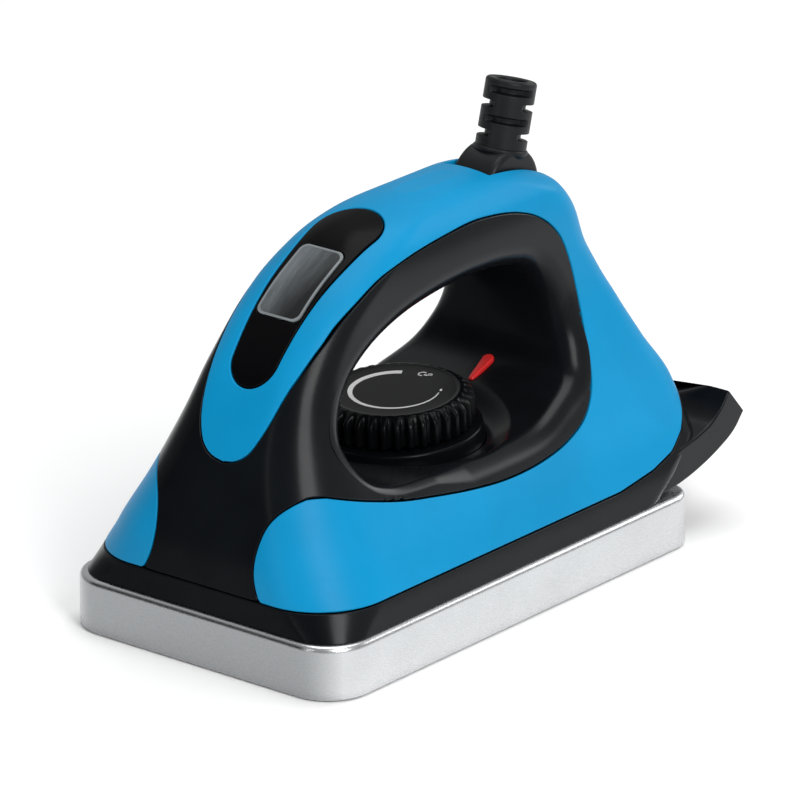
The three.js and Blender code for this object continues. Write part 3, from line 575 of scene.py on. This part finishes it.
def body_value(key, z):
    """Monotone cubic through the body stations."""
    column = BODY[:, BODY_KEYS.index(key)]
    heights = BODY[:, 0]
    z = np.clip(z, heights[0], heights[-1])
    rise = np.diff(column) / np.diff(heights)
    slopes = np.empty(len(column))
    slopes[0], slopes[-1] = rise[0], rise[-1]
    product, total = rise[:-1] * rise[1:], rise[:-1] + rise[1:]
    slopes[1:-1] = np.where(product > 0, 2 * product / np.where(total == 0, 1, total), 0)
    i = np.clip(np.searchsorted(heights, z) - 1, 0, len(heights) - 2)
    step = heights[i + 1] - heights[i]
    t = (z - heights[i]) / step
    return (column[i] * (2 * t**3 - 3 * t**2 + 1) + slopes[i] * step * (t**3 - 2 * t**2 + t)
            + column[i + 1] * (3 * t**2 - 2 * t**3) + slopes[i + 1] * step * (t**3 - t**2))


def plan_ring(front, back, half, fx, fy, rx, ry, corner=18, side=110, end=26):
    """Rounded rectangle in plan with elliptical corners and evenly divided straight sides."""
    def arc(x, y, a, b, start):
        angle = np.radians(np.linspace(start, start + 90, corner, endpoint=False))
        return np.stack([x + a * np.cos(angle), y + b * np.sin(angle)], 1)

    def line(p, q, count):
        t = np.linspace(0, 1, count, endpoint=False)[:, None]
        return np.array(p) * (1 - t) + np.array(q) * t

    return np.vstack([
        arc(half - fx, front + fy, fx, fy, -90), line((half, front + fy), (half, back - ry), side),
        arc(half - rx, back - ry, rx, ry, 0), line((half - rx, back), (rx - half, back), end),
        arc(rx - half, back - ry, rx, ry, 90), line((-half, back - ry), (-half, front + fy), side),
        arc(fx - half, front + fy, fx, fy, 180), line((fx - half, front), (half - fx, front), end),
    ])


def body_surface():
    """The whole outer skin; rings get closer together over the crown, which a fan closes."""
    start, side_rings, crown_rings = 88, 104, 46
    crown = start + (BODY[-1, 0] - start) * np.sin(np.linspace(0, math.pi / 2, crown_rings))
    heights = np.concatenate([np.linspace(BODY[0, 0], start, side_rings, endpoint=False), crown])
    rings = []
    for z in heights:
        ring = plan_ring(*(float(body_value(key, z)) for key in BODY_KEYS[1:]))
        rings.append(np.column_stack([ring, np.full(len(ring), z)]))
    top = rings[-1]
    middle = top.mean(0)
    rings.extend(middle + (top - middle) * share for share in (0.75, 0.5, 0.25))
    surface = grid_surface(np.array(rings))
    count = len(top)
    surface.normals[-3 * count:] = (0, 0, 1)
    last, centre = np.arange(count) + 1, len(surface.points)
    first = centre - count
    fan = np.stack([first + last - 1, first + last % count, np.full(count, centre)], 1)
    return Surface(np.vstack([surface.points, middle]), np.vstack([surface.normals, (0, 0, 1)]),
                   np.vstack([surface.faces, fan]))


def body_side(p):
    """Below zero inside the body, above zero outside."""
    front, back, half, fx, fy, rx, ry = (body_value(key, p[:, 2]) for key in BODY_KEYS[1:])
    x, y = np.abs(p[:, 0]), p[:, 1]
    ahead, behind = front + fy - y, y - back + ry
    near_front = ((x - half + fx) / fx) ** 2 + (ahead / fy) ** 2 - 1
    near_back = ((x - half + rx) / rx) ** 2 + (behind / ry) ** 2 - 1
    value = np.maximum(x - half, np.maximum(front - y, y - back))
    value = np.where((x > half - fx) & (ahead > 0), near_front * fx, value)
    value = np.where((x > half - rx) & (behind > 0), near_back * rx, value)
    return np.where(p[:, 2] > BODY[-1, 0], 1.0, value)


def window_surface():
    """The body's skin round the display, on a finer grid than the body's own."""
    half, front, rear, above, halvings = 11.2, -31.5, 31.0, 8.0, 26
    angle = math.radians(DISPLAY["slope"])
    x, y = np.meshgrid(np.linspace(-half, half, 76), np.linspace(front, rear, 200))
    flat = np.column_stack([x.ravel(), DISPLAY["y"] + y.ravel() * math.cos(angle),
                            DISPLAY["z"] + y.ravel() * math.sin(angle)])
    out = np.array([0, -math.sin(angle), math.cos(angle)])
    low, high = np.full(len(flat), -BEZEL["reach"]), np.full(len(flat), above)
    for _ in range(halvings):
        middle = (low + high) / 2
        inside = body_side(flat + out * middle[:, None]) < 0
        low, high = np.where(inside, middle, low), np.where(inside, high, middle)
    return grid_surface((flat + out * low[:, None]).reshape(*x.shape, 3), wrap_columns=False)


# ---------------------------------------------------------------- the iron's outer shells
def smoothstep(value):
    t = np.clip(value, 0, 1)
    return t * t * (3 - 2 * t)


def edge_radius(points):
    """Rounding of the opening's edge: larger up the columns, sharper at the front of the deck."""
    y, z = points[:, 0], points[:, 1]
    rise = smoothstep((z - EDGE_ROUND["from"]) / EDGE_ROUND["over"])
    radius = EDGE_ROUND["low"] + (EDGE_ROUND["high"] - EDGE_ROUND["low"]) * rise
    front = (np.clip((EDGE_ROUND["sharp_y"] - y) / EDGE_ROUND["fade_y"], 0, 1)
             * np.clip((EDGE_ROUND["sharp_z"] - z) / EDGE_ROUND["fade_z"], 0, 1))
    return radius * (1 - front) + EDGE_ROUND["sharp"] * front


def throat_frame(count):
    """Points round the opening and the directions out of it."""
    points = spline(THROAT, count, closed=True)
    tangent = unit(np.roll(points, -1, 0) - np.roll(points, 1, 0))
    return points, np.stack([tangent[:, 1], -tangent[:, 0]], 1)


THROAT_POINTS, THROAT_OUT = throat_frame(300)
OPENING_RIM = THROAT_POINTS + THROAT_OUT * edge_radius(THROAT_POINTS)[:, None]
FIELD_OUTLINE = np.vstack([spline(FIELD, 160), FIELD_FRONT])
TONGUE_OUTLINE = mirrored(spline(TONGUE, 60))
NOSE_OUTLINE = mirrored(NOSE[:1] + spline(NOSE[1:-1], 60).tolist() + NOSE[-1:])


def black_distance(p):
    """Negative where the outer skin belongs to the black housing."""
    tongue_back, nose_back, blend = -20, -42, 0.7
    field = distance(p[:, [1, 2]], FIELD_OUTLINE)
    tongue = np.maximum(distance(p[:, [0, 2]], TONGUE_OUTLINE), p[:, 1] - tongue_back)
    nose = np.maximum(distance(p[:, [0, 2]], NOSE_OUTLINE), p[:, 1] - nose_back)
    sides = blend * np.logaddexp(field / blend, -tongue / blend)
    return np.minimum(sides, nose)


def seam_height(y):
    """Joint between the skirt and what stands on it: level, then rising round the tail."""
    return np.interp(y, [44, 58, 67, 72.5, 76.5, 80], [SKIRT_TOP, 22.2, 24.4, 27.8, 32, 37])


def in_frame(p, place, degrees):
    """Points in a frame turned about X by degrees at place."""
    angle = math.radians(degrees)
    q = p - np.array([0, place[0], place[1]])
    return np.stack([q[:, 0], q[:, 1] * math.cos(angle) + q[:, 2] * math.sin(angle),
                     q[:, 2] * math.cos(angle) - q[:, 1] * math.sin(angle)], 1)


def bezel_distance(p):
    q = in_frame(p, (DISPLAY["y"], DISPLAY["z"]), DISPLAY["slope"])
    flat = bar_distance(q[:, 0], q[:, 1] - BEZEL["shift"], BEZEL["length"], BEZEL["front"], BEZEL["rear"])
    return np.where(q[:, 2] > -BEZEL["reach"], flat, FAR)


def lens_distance(p, grow=0.0):
    q = in_frame(p, (DISPLAY["y"], DISPLAY["z"]), DISPLAY["slope"])
    corner = LENS["corner"]
    dx = np.abs(q[:, 0]) - (LENS["width"] / 2 + grow - corner)
    dy = np.abs(q[:, 1]) - (LENS["length"] / 2 + grow - corner)
    flat = np.hypot(np.maximum(dx, 0), np.maximum(dy, 0)) + np.minimum(np.maximum(dx, dy), 0) - corner
    return np.where(q[:, 2] > -LENS["reach"], flat, FAR)


def slot_distance(p):
    clear, depth = SWIVEL["clear"], SWIVEL["radius"] + 4
    dx = np.abs(p[:, 0]) - (SWIVEL["half"] + clear)
    dy = np.abs(p[:, 1] - SWIVEL["y"]) - (SWIVEL["radius"] + clear)
    return np.where(p[:, 2] > SWIVEL["z"] - depth, np.maximum(dx, dy), FAR)


def opening_surface():
    """Lining of the handle opening, from rim to rim, with the dial's bowl in its floor."""
    radius = edge_radius(THROAT_POINTS)

    def row(side, degrees):
        angle = math.radians(degrees)
        out = radius * (1 - math.cos(angle))
        yz = THROAT_POINTS + THROAT_OUT * out[:, None]
        x = body_value("half", yz[:, 1]) - radius * (1 - math.sin(angle))
        return np.column_stack([side * x, yz])

    turns = np.linspace(0, 90, 19)
    left = [row(-1, degrees) for degrees in turns]
    right = [row(1, degrees) for degrees in turns]
    between = [left[0] * (1 - t) + right[0] * t for t in np.linspace(0, 1, 50)[1:-1]]
    grid = np.array(left[::-1] + between + right)
    from_axis = np.hypot(grid[..., 0], grid[..., 1] - DIAL["y"])
    sunk = BOWL["depth"] * smoothstep((BOWL["radius"] - from_axis) / BOWL["slope"])
    grid[..., 2] -= np.where(grid[..., 2] < BOWL["below"], sunk, 0)
    return grid_surface(grid, outward=-1)


def inside_opening(p):
    """Above zero inside the opening's rim, in side view."""
    return -distance(p[:, [1, 2]], OPENING_RIM)


def make_cover(materials, body):
    """Blue skin: all that isn't black, skirt, bezel, the slot of the cord entry or the opening."""
    def value(p):
        seam = seam_height(p[:, 1]) - p[:, 2]
        parts = [-black_distance(p), seam, -bezel_distance(p), -slot_distance(p), inside_opening(p)]
        return np.max(parts, axis=0) + MARGIN

    make_object("cover_shell", body.clipped(value).shell(), materials["blue_cover"], "base",
                ["handle_cover"])


def make_housing(materials, body):
    """Black skin round the opening and on the nose, with the lining of the opening."""
    overlap, lining_wall, lining_edge = 0.12, 1.6, 0.15

    def skin_value(p):
        seam = seam_height(p[:, 1]) - p[:, 2]
        return np.maximum(np.maximum(black_distance(p), seam) + MARGIN, inside_opening(p) - overlap)

    def deck_value(p):
        q = in_frame(p, (DIAL["y"], DIAL["top"]), DIAL["tilt"])
        return np.where(q[:, 2] < 0, COLLAR["hole"] - np.hypot(q[:, 0], q[:, 1]), KEPT)

    def pointer_value(p):
        q = in_frame(p, (POINTER["y"], POINTER["z"]), POINTER["slope"])
        return np.where(np.abs(q[:, 2]) < POINTER["depth"], -pointer_distance(q) + overlap, KEPT)

    skin = body.clipped(skin_value)
    lining = opening_surface().clipped(deck_value).clipped(pointer_value)
    housing = skin.shell().joined(lining.shell(lining_wall, lining_edge))
    make_object("housing_shell", housing, materials["black_housing"], "base",
                ["upper_housing"])


def make_display(materials):
    """Bezel, window and the pale border printed round the window."""
    proud, wall, gap = 0.15, 1.4, 0.15
    border_proud, border_wall, border_edge = 0.22, 0.5, 0.05
    window = window_surface()
    bezel = window.clipped(lambda p: np.maximum(bezel_distance(p), -lens_distance(p, 0.1)) + MARGIN)
    make_object("bezel_shell", bezel.shell(), materials["bezel_gloss"], "base",
                ["display_bezel"])
    lens = window.clipped(lambda p: lens_distance(p, -gap) + EDGE)
    lens.points = lens.points + lens.normals * proud
    make_object("lens_glass", lens.shell(wall, EDGE), materials["lens_glass"], "base",
                ["display_lens"])
    inner = -LENS["border"]
    border = window.clipped(lambda p: np.maximum(lens_distance(p, 0.05), -lens_distance(p, inner)))
    border.points = border.points + border.normals * border_proud
    shell = border.shell(border_wall, border_edge)
    make_object("lens_border", shell, materials["lens_frame"], "base")


def bar_distance(x, y, length, front, rear):
    """Distance to a bar along Y with half round ends, which widens from `front` to `rear`."""
    span = length - (front + rear) / 2
    t = np.clip((y + length / 2 - front / 2) / span, 0, 1)
    return np.hypot(x, y + length / 2 - front / 2 - t * span) - (front + (rear - front) * t) / 2


def pointer_distance(q):
    return bar_distance(q[:, 0], q[:, 1], POINTER["length"], POINTER["narrow"], POINTER["wide"])


def make_skirt(materials, body):
    """Lower housing: the skirt round the body and the tail that turns up behind it."""
    sections = 60
    skirt = body.clipped(lambda p: p[:, 2] - seam_height(p[:, 1]) + MARGIN)
    under, over = spline(TAIL_UNDER, sections), spline(TAIL_OVER, sections)
    grid = np.array([tail_section((low + high) / 2, (high - low) / 2) for low, high in zip(under, over)])
    tail = grid_surface(grid, outward=-1)
    for ring in (grid[0], grid[-1]):
        tail = tail.joined(cap(ring, tail))
    make_object("skirt_shell", skirt.shell().joined(tail), materials["black_housing"], "base",
                ["lower_housing"])


def tail_section(middle, reach):
    """Rounded slab section at one place along the tail; its top is dished across."""
    height = float(np.linalg.norm(reach))
    across = reach / height
    right = slab_outline(TAIL["half"], height, TAIL["edge"])
    full = np.vstack([right, right[::-1][1:-1] * (-1, 1)])
    x, v = full[:, 0], full[:, 1]
    limit = (TAIL["dish"] + x * x / (2 * TAIL["dish_radius"]) - middle[1]) / across[1]
    lip = TAIL["lip"]
    v = np.where(v > 0, limit - lip * np.logaddexp(0, (limit - v) / lip), v)
    y, z = middle[0] + across[0] * v, middle[1] + across[1] * v
    return np.column_stack([x, y, z])


def slab_outline(half, height, corner):
    """Right half of a slab's section, from its middle below to its middle on top."""
    flat = np.linspace(0, half - corner, 30, endpoint=False)
    turn = np.radians(np.linspace(-90, 0, 7))
    below = np.stack([flat, np.full(len(flat), -height)], 1)
    low = np.stack([half - corner + corner * np.cos(turn), -height + corner + corner * np.sin(turn)], 1)
    high = low[::-1] * (1, -1)
    above = below[::-1] * (1, -1)
    return np.vstack([below, low, high, above])


def cap(ring, surface):
    """Flat fan that closes one end of a lofted surface."""
    centre = ring.mean(0)
    points = np.vstack([ring, centre])
    count = len(ring)
    index = np.arange(count)
    faces = np.stack([index, (index + 1) % count, np.full(count, count)], 1)
    normal = unit(np.cross(ring[1] - centre, ring[2] - centre)[None])[0]
    direction = surface.points.mean(0) - centre
    if normal @ direction > 0:
        normal, faces = -normal, faces[:, ::-1]
    return Surface(points, np.repeat(normal[None], count + 1, 0), faces)


def make_soleplate(materials):
    """Solid plate: small chamfer below, rounded bright bevel above. Rows are (inset, height)."""
    chamfer, bevel_in, bevel_down = SOLE["chamfer"], SOLE["bevel_in"], SOLE["bevel_down"]
    top = SOLE["height"]
    profile = [(chamfer, 0.0), (0.25, 0.25), (0.0, chamfer)]
    profile += [(0.0, z) for z in np.linspace(2, 12, 8)]
    profile += [(bevel_in * (1 - math.cos(a)), top - bevel_down * (1 - math.sin(a)))
                for a in np.linspace(0, math.pi / 2, 9)]
    profile += [(bevel_in + 1, top)]
    rings = []
    for inset, z in profile:
        ring = plan_ring(
            -SOLE["length"] / 2 + inset, SOLE["length"] / 2 - inset, SOLE["width"] / 2 - inset,
            *[SOLE["front"] - inset] * 2, *[SOLE["rear"] - inset] * 2)
        rings.append(np.column_stack([ring, np.full(len(ring), z)]))
    plate = grid_surface(np.array(rings))
    plate = plate.joined(cap(rings[0], plate))
    plate = plate.joined(cap(rings[-1], plate))
    make_object("sole_block", plate, materials["sole_aluminium"], "base", ["soleplate"])


# ---------------------------------------------------------------- dial, pointer and cord entry
def make_dial(materials):
    """Toothed knob, hollow below, with its printed scale."""
    teeth, radius, height = DIAL["teeth"], DIAL["radius"], DIAL["height"]
    place = (0, DIAL["y"], DIAL["top"])
    gap, wall, roof, face, centre, sharpness = 18.3, 15.8, -2.4, -0.28, 0.02, 2.6
    columns = teeth * 16
    angles = np.linspace(0, 2 * math.pi, columns, endpoint=False)
    tooth = 0.5 + 0.5 * np.tanh(sharpness * np.cos(angles * teeth)) / math.tanh(sharpness)
    # Each row: radius over the teeth, radius in the gaps, height.
    rows = [(wall, wall, -height), (18.3, 17.6, -height), (radius - 0.25, 18.2, -height + 0.05),
            (radius, gap, -height + 0.5), (radius, gap, -5.5), (radius, gap, -3.2),
            (radius - 0.1, 18.2, -2.3), (radius - 0.7, 17.9, -1.5), (radius - 1.7, 17.5, -0.75),
            (radius - 2.7, 17.0, -0.25), (16.9, 16.5, -0.05), (16.2, 16.2, 0.0), (15.7, 15.7, -0.12),
            (15.3, 15.3, face), (12, 12, face), (6, 6, face), (centre, centre, face)]
    grid = []
    for out, deep, z in rows:
        r = deep + (out - deep) * tooth
        grid.append(np.column_stack([r * np.cos(angles), r * np.sin(angles), np.full(columns, z)]))
    inner = lathe([(wall, -height), (wall, roof), (4.8, roof), (4.8, -height), (3.4, -height), (3.4, roof),
                   (centre, roof)])
    inner.normals, inner.faces = -inner.normals, inner.faces[:, ::-1]
    knob = grid_surface(np.array(grid)).joined(inner)
    make_object("dial_knob", knob.turned(DIAL["tilt"], place), materials["dial_black"], "dial",
                ["thermostat_dial"])
    make_object("dial_scale", scale_print().turned(DIAL["tilt"], place), materials["print_white"], "dial")


def make_collar(materials):
    """Fixed ring with a floor, below the dial."""
    place = (0, DIAL["y"], DIAL["top"])
    radius, bore, top, floor, bottom = (COLLAR[key] for key in ("radius", "bore", "top", "floor", "bottom"))
    outline = [(18, bottom), (radius, bottom), (radius - 0.7, top), (bore, top + 0.2), (bore - 0.4, floor)]
    ring = lathe(rounded(outline, 0.6, 5), 128)
    disc = lathe([(bore - 0.2, floor), (3.6, floor)])
    make_object("collar_ring", ring.joined(disc).turned(DIAL["tilt"], place), materials["dial_black"],
                "base", ["dial_collar"])


def flat_ring(inner, outer, angles, thickness=0.05):
    """Thin raised mark between two radii (arrays) along the angles, as a small closed strip."""
    inner, outer = np.broadcast_to(inner, angles.shape), np.broadcast_to(outer, angles.shape)
    corners = [(inner, 0.0), (outer, 0.0), (outer, thickness), (inner, thickness)]
    grid = np.array([np.column_stack([r * np.cos(angles), r * np.sin(angles), np.full(len(angles), z)])
                     for r, z in corners])
    strip = grid_surface(grid, wrap_rows=True, wrap_columns=False)
    strip.normals[:] = (0, 0, 1)
    return strip


def scale_print():
    """White print of the dial: a tapered arc, two ticks and the sign for degrees Celsius."""
    radius, tick, tick_width, wide, narrow = 11.2, 0.55, 6, 1.8, 0.22
    angles = np.radians(np.linspace(120, 385, 120))
    half = np.linspace(wide, narrow, len(angles)) / 2
    scale = flat_ring(radius - half, radius + half, angles)
    for start in (30, 84):
        arc = np.radians(np.linspace(start, start + tick_width, 4))
        scale = scale.joined(flat_ring(radius, radius + tick, arc))
    degree = flat_ring(0.32, 0.62, np.radians(np.linspace(0, 360, 24)))
    degree.points = degree.points + (1.35, 12.35, 0)
    letter = flat_ring(0.85, 1.25, np.radians(np.linspace(50, 310, 24)))
    letter.points = letter.points * (0.9, 1, 1) + (-0.6, 11.6, 0)
    scale = scale.joined(degree).joined(letter)
    scale.points = scale.points + (0, 0, -0.26)  # just above the sunk face
    return scale


def make_pointer(materials):
    """Drop-shaped light guide; its rows step in round the top edge."""
    angles = np.linspace(0, 2 * math.pi, 72, endpoint=False)
    length, narrow, wide = POINTER["length"], POINTER["narrow"], POINTER["wide"]
    rows = []
    for inset, z in [(0, -3.4), (0, -1), (0, 0.2), (0.08, 0.45), (0.3, 0.62), (0.55, 0.68), (0.75, 0.7)]:
        ring = []
        for angle in angles:
            rear = math.sin(angle) >= 0
            r = (wide if rear else narrow) / 2
            y = (length / 2 - r) if rear else (r - length / 2)
            reach = max(0.05, r - inset)
            ring.append((reach * math.cos(angle), y + reach * math.sin(angle), z))
        rows.append(ring)
    grid = np.array(rows)
    side = grid_surface(grid)
    guide = side.joined(cap(grid[-1], side)).joined(cap(grid[0], side))
    place = (0, POINTER["y"], POINTER["z"])
    make_object("pointer_guide", guide.turned(POINTER["slope"], place), materials["pointer_red"], "base",
                ["pilot_pointer"])


def make_swivel(materials):
    """Drum on a cross axis with the socket that holds the boot, and the boot."""
    place = (0, SWIVEL["y"], SWIVEL["z"])
    r, w = SWIVEL["radius"], SWIVEL["half"]
    centre, edge = 0.05, 1.8
    drum = lathe(rounded([(centre, -w), (r, -w), (r, w), (centre, w)], edge, 7), 128)
    drum = Surface(drum.points[:, [2, 0, 1]], drum.normals[:, [2, 0, 1]], drum.faces)
    socket = lathe([(6.3, 7.6), (6.9, 8.6), (7.1, 9.3), (6.7, 9.8), (4.2, 9.9)])
    drum = drum.joined(socket)
    make_object("swivel_ball", drum.turned(SWIVEL["lean"], place), materials["component_black"], "swivel",
                ["swivel_drum"])
    boot = make_boot()
    make_object("cord_boot", boot.turned(SWIVEL["lean"], place), materials["boot_rubber"], "swivel",
                ["cord_strain_relief"])


def make_boot():
    """Slotted sleeve: opposed slots, each pair a quarter turn from the pair below."""
    columns = 144
    angles = np.linspace(0, 2 * math.pi, columns, endpoint=False)
    start, end, bore = BOOT["start"], BOOT["end"], BOOT["radius"] - BOOT["bore"]
    rows = []

    def add_row(radius, z):
        x, y = radius * np.cos(angles), radius * np.sin(angles)
        rows.append(np.column_stack([x, y, np.full(columns, z)]))

    for z in [start, *np.linspace(start + 0.1, end - 0.8, 120)]:
        radius = np.full(columns, BOOT["radius"])
        for k, level in enumerate(BOOT["slots"]):
            centre = math.radians(BOOT["turn"] + 90 * (k % 2))
            spread = np.abs(np.cos(angles - centre))
            around = 1 / (1 + np.exp(-(spread - 0.62) / 0.018))
            along = 1 / (1 + math.exp((abs(z - level) - BOOT["slot_half"]) / 0.05))
            radius -= BOOT["slot_depth"] * around * along
        add_row(radius, z)
    # Rounded end and the bore down from it, as (inset, height below the end).
    for inset, down in [(0.08, 0.45), (0.3, 0.15), (0.6, 0), (1.6, 0), (2.3, 0.1), (2.6, 0.5), (bore, 4),
                        (bore, 16)]:
        add_row(BOOT["radius"] - inset, end - down)
    return grid_surface(np.array(rows))


# ---------------------------------------------------------------- assembly
def dress_inner_nodes(materials):
    """The pieces inside keep their CAD shape and get the finish of their slot."""
    slots = {part["node"]: part["material_slot"] for part in frame["record"]["subparts"]}
    for name, node in frame["nodes"].items():
        node.data.materials.clear()
        node.data.materials.append(materials[slots[name]])


def main():
    make_camera()
    make_studio()
    materials = make_materials()
    dress_inner_nodes(materials)
    body = body_surface()
    make_cover(materials, body)
    make_housing(materials, body)
    make_display(materials)
    make_skirt(materials, body)
    make_soleplate(materials)
    make_dial(materials)
    make_collar(materials)
    make_pointer(materials)
    make_swivel(materials)


main()
